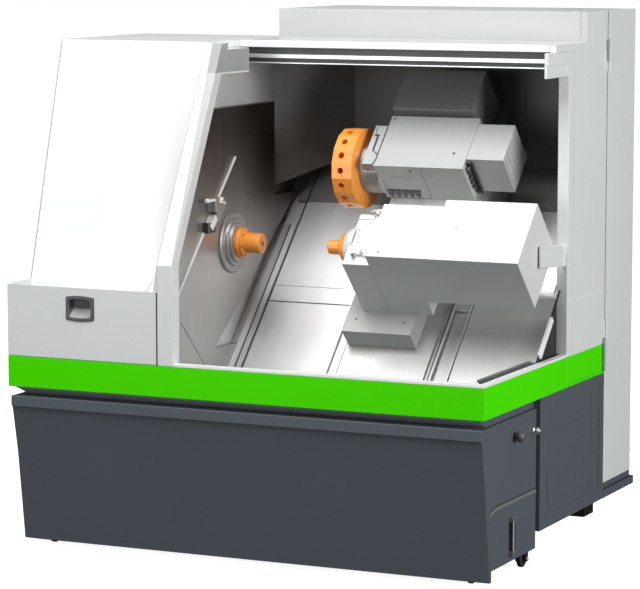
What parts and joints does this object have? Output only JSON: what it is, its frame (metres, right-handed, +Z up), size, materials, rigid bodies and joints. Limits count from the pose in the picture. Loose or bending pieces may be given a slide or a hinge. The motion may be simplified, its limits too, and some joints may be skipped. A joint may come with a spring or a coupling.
{
  "type": "cnc turning center",
  "caption": "Slant-bed turn-mill machine with open work area, opposed spindles, a turret on a cross slide, a rear cabinet and a coolant tank.",
  "frame": {"origin": "on the floor, midway between the sides and between the front plate and the rear rail", "axes": "+Z up, the operator stands at -Y, +X to the operator's right"},
  "size_m": [2.1122, 1.768, 2.198],
  "materials": {
    "white": "satin powder coat",
    "grey": "satin paint",
    "steel": "brushed sheet",
    "dark": "satin paint",
    "black": "matte",
    "green": "satin paint",
    "orange": "satin paint"
  },
  "bodies": {
    "frame": {"machine_base": "dark", "coolant_tank": "dark", "levelling_foot_front_left": "dark", "levelling_foot_front_right": "dark", "levelling_foot_rear_left": "dark", "levelling_foot_rear_right": "dark", "left_base_panel": "dark", "right_base_panel": "dark", "front_band": "green", "left_band": "green", "right_band": "green", "left_housing": "white", "left_pillar": "grey", "right_pillar": "grey", "right_side_panel": "white", "roof_panel": "white", "door_rail": "steel", "sill_track": "white", "rear_cabinet": "white", "slant_bed": "grey", "bed_cover_left": "steel", "bed_cover_middle": "steel", "bed_cover_right": "steel", "z1_way": "dark", "spindle_wall_plate": "steel", "spindle_ring": "steel", "probe_rail": "steel"},
    "main_spindle": {"main_spindle": "orange"},
    "counter_slide": {"counter_slide": "grey", "counter_housing": "white", "spindle_head": "white"},
    "counter_spindle": {"counter_spindle": "orange"},
    "saddle": {"z1_saddle": "steel"},
    "cross_slide": {"x1_slide": "steel", "x1_cover": "grey"},
    "tool_carrier": {"turret_carrier": "white", "turret_motor": "white"},
    "turret": {"turret_disc": "orange"},
    "drawer": {"parts_drawer": "white", "drawer_handle": "black"},
    "cabinet_door": {"cabinet_door": "white"},
    "castor_wheel_front_left": {"castor_wheel_front_left": "black"},
    "castor_wheel_rear_left": {"castor_wheel_rear_left": "black"},
    "castor_wheel_front_right": {"castor_wheel_front_right": "black"},
    "castor_wheel_rear_right": {"castor_wheel_rear_right": "black"}
  },
  "joints": [
    {"name": "main_spindle_turn", "type": "hinge", "parent": "frame", "child": "main_spindle", "pos_m": [0, -0.28, 1.242], "axis": [1, 0, 0], "continuous": true},
    {"name": "counter_slide_travel", "type": "slide", "parent": "frame", "child": "counter_slide", "axis": [1, 0, 0], "range_m": [-0.27, 0]},
    {"name": "counter_spindle_turn", "type": "hinge", "parent": "counter_slide", "child": "counter_spindle", "pos_m": [0, -0.28, 1.242], "axis": [1, 0, 0], "continuous": true},
    {"name": "saddle_travel", "type": "slide", "parent": "frame", "child": "saddle", "axis": [1, 0, 0], "range_m": [-0.3, 0.15]},
    {"name": "cross_slide_travel", "type": "slide", "parent": "saddle", "child": "cross_slide", "axis": [0, 0.7071, 0.7071], "range_m": [-0.11, 0.08]},
    {"name": "tool_carrier_travel", "type": "slide", "parent": "cross_slide", "child": "tool_carrier", "axis": [0, -0.7071, 0.7071], "range_m": [0, 0.08]},
    {"name": "turret_index", "type": "hinge", "parent": "tool_carrier", "child": "turret", "pos_m": [0.05775, 0.02193, 1.54394], "axis": [1, 0, 0], "continuous": true},
    {"name": "drawer_pull", "type": "slide", "parent": "frame", "child": "drawer", "axis": [0, -1, 0], "range_m": [0, 0.4]},
    {"name": "cabinet_door_swing", "type": "hinge", "parent": "frame", "child": "cabinet_door", "pos_m": [1.05025, 0.4853, 1.198], "axis": [0, 0, -1], "range_deg": [0, 110]},
    {"name": "castor_wheel_front_left_roll", "type": "hinge", "parent": "frame", "child": "castor_wheel_front_left", "pos_m": [-0.94125, -0.714, 0.035], "axis": [1, 0, 0], "continuous": true},
    {"name": "castor_wheel_rear_left_roll", "type": "hinge", "parent": "frame", "child": "castor_wheel_rear_left", "pos_m": [-1.01025, -0.354, 0.035], "axis": [1, 0, 0], "continuous": true},
    {"name": "castor_wheel_front_right_roll", "type": "hinge", "parent": "frame", "child": "castor_wheel_front_right", "pos_m": [0.92875, -0.714, 0.035], "axis": [1, 0, 0], "continuous": true},
    {"name": "castor_wheel_rear_right_roll", "type": "hinge", "parent": "frame", "child": "castor_wheel_rear_right", "pos_m": [0.99775, -0.354, 0.035], "axis": [1, 0, 0], "continuous": true}
  ]
}
